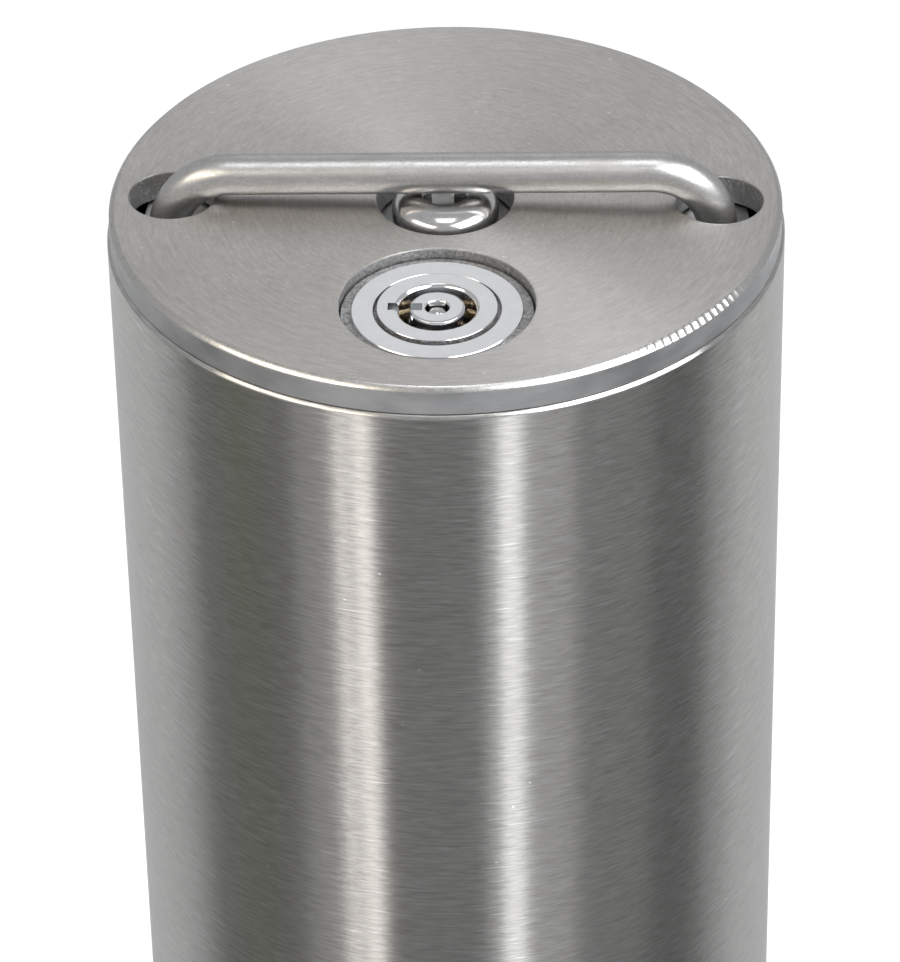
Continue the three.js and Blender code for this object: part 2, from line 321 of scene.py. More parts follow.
class Recipe:
    """A node material with one metal or plastic shader."""

    def __init__(self, name, metallic=1.0):
        self.material = bpy.data.materials.new(name)
        self.material.use_nodes = True
        self.tree = self.material.node_tree
        self.shader = self.tree.nodes["Principled BSDF"]
        self.shader.inputs["Metallic"].default_value = metallic
        self.place = self.node("ShaderNodeTexCoord").outputs["Object"]

    def node(self, kind, inputs=None, **settings):
        made = self.tree.nodes.new(kind)
        for key, value in settings.items():
            setattr(made, key, value)
        for key, value in (inputs or {}).items():
            socket = made.inputs[key]
            if isinstance(value, bpy.types.NodeSocket):
                self.tree.links.new(value, socket)
            else:
                socket.default_value = value
        return made

    def math(self, operation, a, b=0.0):
        return self.node("ShaderNodeMath", {0: a, 1: b}, operation=operation).outputs[0]

    def noise(self, vector, detail=3.0, roughness=0.55):
        made = self.node("ShaderNodeTexNoise", {
            "Vector": vector, "Scale": 1.0, "Detail": detail, "Roughness": roughness,
        })
        return made.outputs["Fac"]

    def grain(self, *scale, **settings):
        """Noise in cycles per metre along each axis. One number serves all three."""
        if len(scale) == 1:
            scale = scale * 3
        mapping = self.node("ShaderNodeMapping", {"Vector": self.place, "Scale": scale})
        return self.noise(mapping.outputs["Vector"], **settings)

    def ramp(self, value, low_in, high_in, low_out=0.0, high_out=1.0):
        made = self.node("ShaderNodeMapRange", {
            "Value": value, "From Min": low_in, "From Max": high_in,
            "To Min": low_out, "To Max": high_out,
        })
        return made.outputs["Result"]

    def blend(self, factor, first, second):
        made = self.node("ShaderNodeMix", data_type="RGBA")
        self.tree.links.new(factor, made.inputs["Factor"])
        for key, value in ((6, first), (7, second)):
            if isinstance(value, bpy.types.NodeSocket):
                self.tree.links.new(value, made.inputs[key])
            else:
                made.inputs[key].default_value = (*value, 1)
        return made.outputs[2]

    def polar(self, x, y, turns, rings):
        """A vector about the upright axis at x, y: `turns` around and `rings` per metre out."""
        parts = self.node("ShaderNodeSeparateXYZ", {"Vector": self.place}).outputs
        across = self.math("SUBTRACT", parts["X"], x)
        along = self.math("SUBTRACT", parts["Y"], y)
        squares = self.math("ADD", self.math("MULTIPLY", across, across),
                            self.math("MULTIPLY", along, along))
        radius = self.math("SQRT", self.math("MAXIMUM", squares, 1e-10))
        made = self.node("ShaderNodeCombineXYZ", {
            "X": self.math("MULTIPLY", self.math("DIVIDE", across, radius), turns),
            "Y": self.math("MULTIPLY", self.math("DIVIDE", along, radius), turns),
            "Z": self.math("MULTIPLY", radius, rings),
        })
        return made.outputs["Vector"]

    def specks(self, scale, size, share):
        """Small spots on a share of the cells of a lattice with `scale` cells per metre."""
        made = self.node("ShaderNodeTexVoronoi", {"Vector": self.place, "Scale": scale})
        near = self.math("LESS_THAN", made.outputs["Distance"], size)
        pick = self.node("ShaderNodeSeparateColor", {"Color": made.outputs["Color"]}).outputs[0]
        return self.math("MULTIPLY", near, self.math("LESS_THAN", pick, share))

    def brushed_around(self, amount):
        """Spreads the highlights across brush lines that run around the upright axis."""
        self.shader.inputs["Anisotropic"].default_value = amount
        self.shader.inputs["Anisotropic Rotation"].default_value = 0.25
        tangent = self.node("ShaderNodeTangent", direction_type="RADIAL", axis="Z")
        self.tree.links.new(tangent.outputs["Tangent"], self.shader.inputs["Tangent"])

    def finish(self, color, roughness, height=None, depth=0.0):
        for key, value in (("Base Color", color), ("Roughness", roughness)):
            if isinstance(value, bpy.types.NodeSocket):
                self.tree.links.new(value, self.shader.inputs[key])
            elif isinstance(value, tuple):
                self.shader.inputs[key].default_value = (*value, 1)
            else:
                self.shader.inputs[key].default_value = value
        if height is not None:
            bump = self.node("ShaderNodeBump", {
                "Height": height, "Distance": depth, "Strength": 1.0,
            })
            self.tree.links.new(bump.outputs["Normal"], self.shader.inputs["Normal"])
        return self.material


def tube_steel():
    """Tube ground around: short streaks, a few longer scratches, and faint clouds."""
    recipe = Recipe("tube_steel")
    fine = recipe.grain(520, 520, 6000, detail=2)
    streaks = recipe.grain(300, 300, 3300, detail=3, roughness=0.62)
    scratches = recipe.grain(170, 170, 4200, detail=2)
    cloud = recipe.grain(16, 16, 24, detail=4)
    marks = recipe.math("ADD", recipe.math("MULTIPLY", fine, 0.4),
                        recipe.math("MULTIPLY", streaks, 0.6))
    pits = recipe.specks(420, 0.07, 0.10)
    tone = recipe.blend(recipe.ramp(marks, 0.33, 0.67), (0.44, 0.427, 0.41), (0.66, 0.648, 0.632))
    tone = recipe.blend(recipe.ramp(scratches, 0.66, 0.72, 0, 0.6), tone, (0.86, 0.85, 0.84))
    tone = recipe.blend(pits, tone, (0.86, 0.86, 0.85))
    rough = recipe.math("ADD", recipe.ramp(cloud, 0.3, 0.7, 0.215, 0.25),
                        recipe.ramp(marks, 0.3, 0.7, -0.025, 0.025))
    recipe.brushed_around(0.85)
    return recipe.finish(tone, rough, marks, 0.02 * MM)


def disc_steel():
    """Cap steel ground in fine rings, with faint clouds and bright specks."""
    recipe = Recipe("disc_steel")
    rings = recipe.noise(recipe.polar(0, 0, 9, 3400), detail=2)
    arcs = recipe.noise(recipe.polar(0, 0, 22, 1900), detail=3, roughness=0.6)
    cloud = recipe.grain(90, detail=5)
    grain = recipe.grain(2600, detail=2)
    lines = recipe.math("ADD", recipe.math("MULTIPLY", rings, 0.5),
                        recipe.math("MULTIPLY", arcs, 0.5))
    pits = recipe.specks(620, 0.1, 0.06)
    tone = recipe.blend(recipe.ramp(lines, 0.33, 0.67), (0.56, 0.54, 0.52), (0.75, 0.728, 0.705))
    tone = recipe.blend(recipe.ramp(grain, 0.4, 0.7, 0, 0.3), tone, (0.5, 0.486, 0.468))
    tone = recipe.blend(recipe.ramp(cloud, 0.35, 0.75, 0, 0.35), tone, (0.56, 0.546, 0.528))
    tone = recipe.blend(pits, tone, (0.92, 0.92, 0.91))
    rough = recipe.math("ADD", recipe.ramp(cloud, 0.3, 0.7, 0.38, 0.44),
                        recipe.ramp(grain, 0.3, 0.7, -0.03, 0.04))
    recipe.brushed_around(0.74)
    return recipe.finish(tone, rough, lines, 0.02 * MM)


def bright_edge():
    """The turned chamfer of the cap disc, brighter than the ground face."""
    recipe = Recipe("bright_edge")
    lines = recipe.noise(recipe.polar(0, 0, 14, 9000), detail=2)
    nicks = recipe.grain(900, detail=3)
    tone = recipe.blend(recipe.ramp(nicks, 0.55, 0.75), (0.6, 0.59, 0.572), (0.46, 0.45, 0.43))
    return recipe.finish(tone, recipe.ramp(nicks, 0.3, 0.7, 0.22, 0.32), lines, 0.004 * MM)


def turned_edge():
    """The outer wall of the cap disc, dull and slightly blue."""
    recipe = Recipe("turned_edge")
    lines = recipe.grain(300, 300, 3000, detail=3)
    cloud = recipe.grain(150, 150, 300, detail=4)
    tone = recipe.blend(recipe.ramp(cloud, 0.3, 0.7), (0.46, 0.465, 0.475), (0.6, 0.603, 0.612))
    tone = recipe.blend(recipe.ramp(lines, 0.5, 0.8, 0, 0.4), tone, (0.68, 0.68, 0.685))
    return recipe.finish(tone, recipe.ramp(cloud, 0.3, 0.7, 0.46, 0.58), lines, 0.015 * MM)


def cut_edge():
    """The rough wall that a laser leaves: a dull grey skin with ridges and bright crumbs."""
    recipe = Recipe("cut_edge")
    ridges = recipe.grain(3000, 3000, 1100, detail=3)
    crumbs = recipe.grain(2400, detail=4, roughness=0.7)
    cloud = recipe.grain(500, 500, 700, detail=4)
    tone = recipe.blend(recipe.ramp(cloud, 0.3, 0.7), (0.42, 0.412, 0.408), (0.62, 0.612, 0.605))
    tone = recipe.blend(recipe.ramp(crumbs, 0.54, 0.66), tone, (0.9, 0.89, 0.88))
    height = recipe.math("ADD", ridges, recipe.math("MULTIPLY", crumbs, 1.5))
    return recipe.finish(tone, recipe.ramp(crumbs, 0.3, 0.7, 0.4, 0.62), height, 0.06 * MM)


def cast_skin_and_shade():
    """The rough die-cast collar around the lock's flange; also painted shade in the flange's
    groove.
    """
    recipe = Recipe("cast_skin_and_shade")
    crumbs = recipe.grain(2200, detail=4, roughness=0.7)
    cloud = recipe.grain(500, detail=3)
    tone = recipe.blend(recipe.ramp(crumbs, 0.35, 0.65), (0.24, 0.24, 0.245), (0.66, 0.655, 0.65))
    tone = recipe.blend(recipe.ramp(cloud, 0.4, 0.7, 0, 0.5), tone, (0.42, 0.42, 0.43))
    return recipe.finish(tone, recipe.ramp(crumbs, 0.3, 0.7, 0.45, 0.65), crumbs, 0.12 * MM)


def handle_steel():
    """Drawn bar with a fine grain and slightly brown clouds."""
    recipe = Recipe("handle_steel")
    drawn = recipe.grain(520, 3000, 3000, detail=3)
    cloud = recipe.grain(160, 400, 400, detail=4)
    grain = recipe.grain(2900, detail=2, roughness=0.6)
    tone = recipe.blend(recipe.ramp(drawn, 0.3, 0.7), (0.56, 0.552, 0.545), (0.68, 0.672, 0.662))
    tone = recipe.blend(recipe.ramp(grain, 0.42, 0.7, 0, 0.6), tone, (0.46, 0.45, 0.44))
    tone = recipe.blend(recipe.ramp(cloud, 0.52, 0.75, 0, 0.6), tone, (0.47, 0.452, 0.432))
    rough = recipe.math("ADD", recipe.ramp(cloud, 0.3, 0.7, 0.31, 0.39),
                        recipe.ramp(grain, 0.3, 0.7, -0.04, 0.04))
    return recipe.finish(tone, rough, grain, 0.014 * MM)


def polished_steel():
    recipe = Recipe("polished_steel")
    marks = recipe.noise(recipe.polar(0, 0, 3, 3000), detail=3)
    wear = recipe.grain(900, detail=3)
    tone = recipe.blend(recipe.ramp(wear, 0.35, 0.75), (0.74, 0.735, 0.73), (0.64, 0.635, 0.63))
    return recipe.finish(tone, recipe.ramp(wear, 0.3, 0.75, 0.13, 0.2), marks, 0.0008 * MM)


def lock_chrome():
    recipe = Recipe("lock_chrome")
    marks = recipe.noise(recipe.polar(LOCK.x, LOCK.y, 2.5, 5200), detail=3)
    wear = recipe.grain(500, detail=3)
    tone = recipe.blend(recipe.ramp(wear, 0.3, 0.7), (0.84, 0.845, 0.855), (0.8, 0.805, 0.81))
    rough = recipe.ramp(wear, 0.3, 0.7, 0.1, 0.15)
    return recipe.finish(tone, rough, marks, 0.0015 * MM)


def mill_steel():
    recipe = Recipe("mill_steel")
    skin = recipe.grain(320, detail=5)
    grain = recipe.grain(1800, detail=3)
    tone = recipe.blend(recipe.ramp(skin, 0.3, 0.7), (0.36, 0.365, 0.37), (0.52, 0.525, 0.53))
    rough = recipe.ramp(skin, 0.3, 0.7, 0.36, 0.52)
    return recipe.finish(tone, rough, grain, 0.015 * MM)


def weld_steel():
    recipe = Recipe("weld_steel")
    skin = recipe.grain(500, detail=4)
    tone = recipe.blend(recipe.ramp(skin, 0.35, 0.65), (0.3, 0.27, 0.22), (0.5, 0.48, 0.45))
    return recipe.finish(tone, recipe.ramp(skin, 0.3, 0.7, 0.3, 0.5), skin, 0.05 * MM)


def pin_brass():
    recipe = Recipe("pin_brass")
    skin = recipe.grain(1500, detail=3)
    tone = recipe.blend(recipe.ramp(skin, 0.3, 0.7), (0.33, 0.24, 0.13), (0.58, 0.45, 0.27))
    return recipe.finish(tone, recipe.ramp(skin, 0.3, 0.7, 0.25, 0.45), skin, 0.01 * MM)


def guide_plastic():
    recipe = Recipe("guide_plastic", metallic=0.0)
    skin = recipe.grain(600, 600, 1500, detail=4)
    tone = recipe.blend(recipe.ramp(skin, 0.3, 0.7), (0.018, 0.018, 0.02), (0.05, 0.05, 0.053))
    return recipe.finish(tone, recipe.ramp(skin, 0.3, 0.7, 0.42, 0.6), skin, 0.03 * MM)


TUBE = tube_steel()
DISC = disc_steel()
BRIGHT = bright_edge()
RIM = turned_edge()
EDGE = cut_edge()
CAST_AND_SHADE = cast_skin_and_shade()
HANDLE = handle_steel()
POLISHED = polished_steel()
CHROME = lock_chrome()
MILL = mill_steel()
WELD = weld_steel()
BRASS = pin_brass()
PLASTIC = guide_plastic()


# ---- post -------------------------------------------------------------------

def make_post_tube():
    """The tube, its upper edge rolled over against the cap disc."""
    outer = high("post_tube").x
    inner = outer - 3 * MM
    seam = 0.08 * MM
    bottom, top = low("post_tube").z, low("top_disc").z - seam
    roll, soft, foot_bevel = 0.38 * MM, 0.06 * MM, 0.4 * MM
    profile = [(inner, bottom), (outer - foot_bevel, bottom), (outer, bottom + foot_bevel)]
    profile += [(outer, bottom + MM), (outer, top - roll - 4 * soft), (outer, top - roll - soft)]
    profile += [(outer - 0.5 * soft, top - roll), (outer - roll, top - 0.5 * soft)]
    profile += [(outer - roll - soft, top), (inner, top)]
    shape = turned(profile, segments=256)
    add_shape("post_tube_skin", shape, [TUBE], "post", ["post_tube"])


CHAMFER = 0.65 * MM
CHATTER_START = math.radians(-59)
CHATTER_END = math.radians(-26)
CHATTER_COUNT = 20
CHATTER_DEPTH = 0.42 * MM


def rim_angles():
    """Angles around the rim, one degree apart, and closer where the chamfer has tool marks."""
    span = CHATTER_END - CHATTER_START
    samples = CHATTER_COUNT * 10
    marks = [CHATTER_START + span * i / samples for i in range(samples + 1)]
    rest = FULL_TURN - span
    count = 330                          # steps around the plain part of the rim
    return marks + [CHATTER_END + rest * i / count for i in range(1, count)]


def chatter(angle):
    """How far the tool bit into the chamfer at this angle."""
    share = (angle - CHATTER_START) / (CHATTER_END - CHATTER_START)
    if not 0 <= share <= 1:
        return 0.0
    fade = min(1, 4 * share, 4 * (1 - share))
    return CHATTER_DEPTH * fade * abs(math.sin(math.pi * share * CHATTER_COUNT))


def disc_rim(radius):
    """The rim's outline as a function of (inset, z, bite), where bite turns the marks on."""
    angles = rim_angles()

    def ring(inset, z, bite=0.0):
        points = []
        for angle in angles:
            r = radius - inset - bite * chatter(angle)
            points.append((r * math.cos(angle), r * math.sin(angle), z))
        return points
    return ring


def make_top_disc():
    """The cap disc: a chamfered rim with tool marks, and four holes."""
    bottom = low("top_disc").z
    radius = high("top_disc").x
    rim = disc_rim(radius)
    shape = Shape()
    outlines = [
        (CHAMFER + 0.3 * MM, CAP, 1), (CHAMFER + 0.05 * MM, CAP, 1),
        (CHAMFER - 0.05 * MM, CAP - 0.03 * MM, 1),
        (0.04 * MM, CAP - CHAMFER + 0.02 * MM, 0), (0, CAP - CHAMFER - 0.05 * MM, 0),
        (0, CAP - CHAMFER - 0.2 * MM, 0), (0, bottom + 0.3 * MM, 0),
        (0, bottom + 0.15 * MM, 0), (0.12 * MM, bottom, 0), (0.4 * MM, bottom, 0),
    ]
    rings = [shape.ring(rim(inset, z, bite)) for inset, z, bite in outlines]
    face, cut, bright, wall, cast = range(5)
    looks = [face, bright, bright, bright, wall, wall, wall, wall, wall]
    for look, a, b in zip(looks, rings, rings[1:]):
        shape.bridge(a, b, look)
    tops, bottoms = [rings[0]], [rings[-1]]
    ease = 0.16 * MM
    holes = [
        (CENTRE_HOLE, 0, 0), (LOCK_HOLE, LOCK.x, LOCK.y),
        (HANDLE_HOLE, HANDLE_HOLE_X, 0), (HANDLE_HOLE, -HANDLE_HOLE_X, 0),
    ]
    for hole_radius, x, y in holes:
        edge = hole_edge(hole_radius, x, y, 120)
        profile = [
            (2.5 * ease, CAP), (ease, CAP), (0.35 * ease, CAP - 0.3 * ease), (0, CAP - ease),
            (0, CAP - 2 * ease), (0, bottom + 2 * ease), (0, bottom + ease), (ease, bottom),
            (2 * ease, bottom),
        ]
        loops = [shape.ring(edge(inset, z)) for inset, z in profile]
        hole_wall = cast if y else cut
        for i, (a, b) in enumerate(zip(loops, loops[1:])):
            shape.bridge(a, b, hole_wall if i >= 3 else face)
        tops.append(loops[0])
        bottoms.append(loops[-1])
    shape.fill(tops, face)
    shape.fill(bottoms, cut)
    add_shape("top_disc_face", shape, [DISC, EDGE, BRIGHT, RIM, CAST_AND_SHADE], "post",
              ["top_disc"])


def make_inner_plate():
    top = high("inner_plate").z
    screw_hole = 4.5 * MM
    holes = [hole_edge(screw_hole), hole_edge(LOCK_BORE, LOCK.x, LOCK.y)]
    for washer in WASHERS:
        x = washer.x + (top - washer.z) * math.tan(-TILT)
        holes.append(hole_edge(LEG_BORE, x, 0))
    shape = plate("inner_plate", disc_edge(high("inner_plate").x), holes, 0.15 * MM, 1)
    add_shape("inner_plate_cut", shape, [MILL, EDGE], "post", ["inner_plate"])


def make_foot_plate():
    """The plate at the foot of the post, with a hole for the rod and three drain holes."""
    holes = [
        hole_edge(ROD_PASSAGE, LOCK.x, LOCK.y), hole_edge(8 * MM, 0, 15 * MM),
        hole_edge(6 * MM, 22 * MM, 0), hole_edge(6 * MM, -22 * MM, 0),
    ]
    shape = plate("foot_plate", disc_edge(high("foot_plate").x), holes, 0.3 * MM, 1)
    add_shape("foot_plate_cut", shape, [MILL, EDGE], "post", ["foot_plate"])


def make_bridge_bar():
    """A flat bar whose ends follow the tube's bore."""
    half_width = high("bridge_bar").x
    half_length = high("bridge_bar").y
    half_angle = math.asin(half_width / half_length)

    def outline(inset, z):
        points = []
        for middle in (math.pi / 2, 1.5 * math.pi):
            for k in range(17):
                angle = middle - half_angle + 2 * half_angle * k / 16
                x = (half_length - inset) * math.cos(angle)
                y = (half_length - inset) * math.sin(angle)
                limit = half_width - inset
                points.append((max(-limit, min(limit, x)), y, z))
        return points

    holes = [hole_edge(THREAD_HOLE, segments=48), hole_edge(ROD_PASSAGE, LOCK.x, LOCK.y)]
    shape = plate("bridge_bar", outline, holes, 0.3 * MM)
    add_shape("bridge_bar_cut", shape, [MILL], "post", ["bridge_bar"])


def make_centre_screw():
    """A round head with a domed top and a hexagon socket."""
    under = high("inner_plate").z + 0.3 * MM
    top = high("centre_screw").z
    bottom = low("centre_screw").z
    head = high("centre_screw").x
    shank = 4 * MM
    flat = 3.6 * MM
    rim = 2.7 * MM
    profile = [(0, bottom), (shank - 0.6 * MM, bottom), (shank, bottom + 0.8 * MM)]
    profile += [(shank, under - 0.2 * MM), (shank + 0.2 * MM, under), (head - 0.2 * MM, under)]
    profile += [(head, under + 0.2 * MM), (head, under + rim)]
    steps = 24
    for k in range(1, steps + 1):
        angle = (k / steps) * math.pi / 2
        radius = flat + (head - flat) * math.cos(angle)
        profile.append((radius, under + rim + (top - under - rim) * math.sin(angle)))
    profile.append((0, top))
    body = turned(profile, segments=128, closed=False).mesh("centre_screw_head", [POLISHED])
    socket = hex_column(5 * MM, top - 2.6 * MM, top + MM, POLISHED, math.radians(10))
    mouth = turned([(0, top - 0.6 * MM), (2.5 * MM, top - 0.6 * MM), (3.3 * MM, top + 0.2 * MM),
                    (0, top + 0.2 * MM)], closed=False)
    data = carve(body, [socket, mouth.mesh("mouth", [POLISHED])])
    data.set_sharp_from_angle(angle=math.radians(25))
    add_piece("centre_screw_head", data, "post", ["centre_screw"])


def make_lock_body():
    """The lock's case: a rough collar, a bright flange with a ring groove painted dark as shade,
    and the key way.
    """
    x, y = LOCK.x, LOCK.y
    boss = high("lock_body").z
    face = boss - 0.35 * MM
    bottom = low("lock_body").z
    seat = CAP - 4 * MM
    collar = (high("lock_body").x - low("lock_body").x) / 2
    flange = 11 * MM
    barrel = 9.5 * MM
    way = 5 * MM
    groove_out, groove_in, groove_deep = 8.2 * MM, 7.7 * MM, 0.7 * MM
    bevel = 0.04 * MM
    profile = [
        (way, bottom), (barrel - 0.4 * MM, bottom), (barrel, bottom + 0.4 * MM), (barrel, seat),
        (collar, seat), (collar, face - 0.5 * MM), (flange + 0.06 * MM, face - 0.55 * MM),
        (flange, face - 0.1 * MM), (flange - 0.1 * MM, face), (flange - 0.2 * MM, face),
        (groove_out + 2 * bevel, face), (groove_out + bevel, face), (groove_out, face - bevel),
        (groove_out, face - groove_deep), (groove_in, face - groove_deep),
        (groove_in, boss - bevel), (groove_in - bevel, boss), (groove_in - 2 * bevel, boss),
        (way + 0.5 * MM, boss), (way + 0.42 * MM, boss), (way + 0.36 * MM, boss - 0.03 * MM),
        (way + 0.04 * MM, boss - 0.32 * MM), (way, boss - 0.42 * MM),
    ]
    # The groove's walls and floor take the collar's dark cast skin as painted shade in the
    # groove.
    collar_and_shaded_groove = (3, 4, 5, 12, 13, 14)
    shape = turned(profile, x, y, segments=160, looks=lambda i: int(i in collar_and_shaded_groove))
    body = shape.mesh("lock_case", [CHROME, CAST_AND_SHADE])
    notch = block((x - 6.3 * MM, y - NOTCH_SIDE, face - NOTCH_DEPTH),
                  (x - 4.2 * MM, y + NOTCH_SIDE, boss + MM), CHROME)
    data = carve(body, [notch])
    data.set_sharp_from_angle(angle=math.radians(32))
    add_piece("lock_case", data, "post", ["lock_body"])


def make_lock_nut():
    shape = plate("lock_nut", hex_edge(24 * MM, LOCK.x, LOCK.y),
                  [hole_edge(LOCK_BORE, LOCK.x, LOCK.y)], 0.3 * MM)
    add_shape("lock_nut_ring", shape, [MILL], "post", ["lock_nut"])


def make_bush(node):
    """A flanged nylon bush around the lock rod."""
    bottom, top = heights(node)
    body_radius = 7 * MM
    flange = (high(node).x - low(node).x) / 2
    shoulder = top - 1.5 * MM
    profile = [(ROD_BORE, bottom), (body_radius, bottom), (body_radius, shoulder),
               (flange, shoulder), (flange, top), (ROD_BORE, top)]
    shape = turned(eased(profile, 0.3 * MM), LOCK.x, LOCK.y, segments=64)
    add_shape(node + "_nylon", shape, [PLASTIC], "post", [node])


# ---- lock core, rod and cam -------------------------------------------------

def make_spindle():
    x, y = LOCK.x, LOCK.y
    bottom, top = heights("lock_spindle")
    post, hole, carrier, tail = 3.6 * MM, 1.5 * MM, 4.7 * MM, 3 * MM
    carrier_top = CAP - 14 * MM
    carrier_bottom = CAP - 25.5 * MM
    bevel = 0.25 * MM
    profile = [
        (0, bottom), (tail - bevel, bottom), (tail, bottom + bevel), (tail, carrier_bottom),
        (carrier, carrier_bottom), (carrier, carrier_top), (post, carrier_top),
        (post, top - 1.4 * bevel), (post - 0.4 * bevel, top - 0.4 * bevel),
        (post - 1.4 * bevel, top), (hole + 0.16 * MM, top),
        (hole, top - 0.16 * MM), (hole, top - 5 * MM), (0, top - 5 * MM),
    ]
    profile = eased(profile, 0.05 * MM, closed=False)
    body = turned(profile, x, y, segments=128, closed=False).mesh("spindle", [CHROME])
    notch = block((x - 4.2 * MM, y - NOTCH_SIDE, top - NOTCH_DEPTH),
                  (x - 1.9 * MM, y + NOTCH_SIDE, top + MM), CHROME)
    data = carve(body, [notch])
    data.set_sharp_from_angle(angle=math.radians(32))
    add_piece("lock_spindle_post", data, "lock_train", ["lock_spindle"])


def domed_pin(name, node, body, dome, material):
    """A small pin with a rounded top, in the box of its node."""
    middle = centre(node)
    bottom, top = heights(node)
    radius = (high(node).x - low(node).x) / 2
    profile = [(0, bottom), (radius * 0.85, bottom), (radius, bottom + 0.15 * radius)]
    for k in range(9):
        angle = (k / 8) * math.pi / 2
        profile.append((radius * math.cos(angle), top - dome + dome * math.sin(angle)))
    shape = turned(profile, middle.x, middle.y, segments=32, closed=False)
    add_shape(name, shape, [material], body, [node], 50)


def make_turned(node, profile, body, ease):
    middle = centre(node)
    shape = turned(eased(profile, ease), middle.x, middle.y, segments=72)
    add_shape(node + "_turned", shape, [MILL], body, [node])


def make_coupling():
    """A sleeve with a wide bore for the rod below and a narrow one for the lock's tail."""
    bottom, top = heights("rod_coupling")
    outer, tail_bore, step = 7.5 * MM, 3.3 * MM, 10 * MM
    profile = [(ROD_BORE, bottom), (outer, bottom), (outer, top), (tail_bore, top),
               (tail_bore, top - step), (ROD_BORE, top - step)]
    make_turned("rod_coupling", profile, "lock_train", 0.4 * MM)


def make_lock_rod():
    bottom, top = heights("lock_rod")
    radius = (high("lock_rod").x - low("lock_rod").x) / 2
    shoulder = high("lock_cam").z + 0.3 * MM
    stud = 4 * MM
    pitch = 1.25 * MM
    depth = 0.35 * MM
    profile = [(0, bottom), (stud - 0.6 * MM, bottom)]
    z = bottom + 0.6 * MM
    while z < shoulder - pitch:
        profile += [(stud, z), (stud, z + 0.2 * pitch), (stud - depth, z + 0.6 * pitch)]
        z += pitch
    profile += [(stud, shoulder), (radius - 0.4 * MM, shoulder), (radius, shoulder + 0.4 * MM)]
    profile += [(radius, top - 0.5 * MM), (radius - 0.5 * MM, top), (0, top)]
    shape = turned(profile, LOCK.x, LOCK.y, segments=48, closed=False)
    add_shape("lock_rod_bar", shape, [MILL], "lock_train", ["lock_rod"])


def make_cam():
    """A hub with one rounded arm along +X."""
    hub = LOCK.x - low("lock_cam").x
    reach = high("lock_cam").x - LOCK.x
    half_width = 5 * MM
    tip = 2 * MM
    neck = math.asin(half_width / hub)

    def outline(inset, z):
        points = []
        for k in range(49):
            angle = neck + (FULL_TURN - 2 * neck) * k / 48
            points.append((LOCK.x + (hub - inset) * math.cos(angle),
                           LOCK.y + (hub - inset) * math.sin(angle), z))
        for sign in (-1, 1):
            for k in range(9):
                angle = (-math.pi / 2 if sign < 0 else 0) + math.pi / 2 * k / 8
                points.append((LOCK.x + reach - tip + (tip - inset) * math.cos(angle),
                               LOCK.y + sign * (half_width - tip)
                               + (tip - inset) * math.sin(angle), z))
        return points

    shape = plate("lock_cam", outline, [hole_edge(THREAD_HOLE, LOCK.x, LOCK.y)], 0.3 * MM, 1)
    add_shape("lock_cam_cut", shape, [MILL, EDGE], "lock_train", ["lock_cam"])


def make_nut(node, across, bore, body):
    """A hexagon nut whose corners are turned off at both faces."""
    middle = centre(node)
    bottom, top = heights(node)
    corner = across / math.sqrt(3)
    slope = (corner - across / 2) * 0.6
    shape = Shape()
    sides = 48

    def hexagon(z, limit):
        points = []
        for k in range(sides):
            angle = FULL_TURN * k / sides
            fold = (angle % (math.pi / 3)) - math.pi / 6
            radius = min(across / 2 / math.cos(fold), limit)
            points.append((middle.x + radius * math.cos(angle),
                           middle.y + radius * math.sin(angle), z))
        return points

    levels = [(bottom, across / 2 * 0.97), (bottom + slope, corner), (top - slope, corner),
              (top, across / 2 * 0.97)]
    rings = [shape.ring(hexagon(z, limit)) for z, limit in levels]
    for a, b in zip(rings, rings[1:]):
        shape.bridge(a, b)
    edge = hole_edge(bore, middle.x, middle.y, sides)
    inner = [shape.ring(edge(0.4 * MM, bottom)), shape.ring(edge(0, bottom + 0.4 * MM)),
             shape.ring(edge(0, top - 0.4 * MM)), shape.ring(edge(0.4 * MM, top))]
    for a, b in zip(inner, inner[1:]):
        shape.bridge(a, b)
    shape.bridge(rings[0], inner[0])
    shape.bridge(rings[-1], inner[-1])
    add_shape(node + "_hex", shape, [MILL], body, [node], 25)


# ---- handle -----------------------------------------------------------------

def make_handle():
    """A round bar bent to a U, with its legs down through the cap."""
    turn = Matrix.Translation((0, 0, CAP)) @ Matrix.Rotation(-TILT, 4, "Y")
    level = turn.inverted()
    left, right = [(level @ washer).x for washer in WASHERS]
    bend = 8.5 * MM
    bar = (high("handle").z - CAP - ROD) * math.cos(TILT) - (right - bend) * math.sin(TILT)
    foot_below_washer = 7.8 * MM
    foot = (level @ WASHERS[0]).z - foot_below_washer
    straight_steps, arc_steps = 24, 28

    def arc(x, start):
        """A quarter turn about x, clockwise from the start angle."""
        points = []
        for k in range(arc_steps + 1):
            angle = start - (math.pi / 2) * k / arc_steps
            points.append(Vector((x + bend * math.cos(angle), 0,
                                  bar - bend + bend * math.sin(angle))))
        return points

    path = []
    for k in range(straight_steps):
        path.append(Vector((left, 0, foot + (bar - bend - foot) * k / straight_steps)))
    path += arc(left + bend, math.pi)
    for k in range(1, straight_steps):
        span = right - left - 2 * bend
        path.append(Vector((left + bend + span * k / straight_steps, 0, bar)))
    path += arc(right - bend, math.pi / 2)
    for k in range(1, straight_steps + 1):
        path.append(Vector((right, 0, bar - bend - (bar - bend - foot) * k / straight_steps)))
    shape = Shape()
    rings = swept(shape, [turn @ point for point in path], ROD, 48)
    for ring in (rings[0], rings[-1]):
        shape.fill([ring])
    add_shape("handle_bar", shape, [HANDLE], "lifting_handle", ["handle"], 60)


# ---- ground socket ----------------------------------------------------------

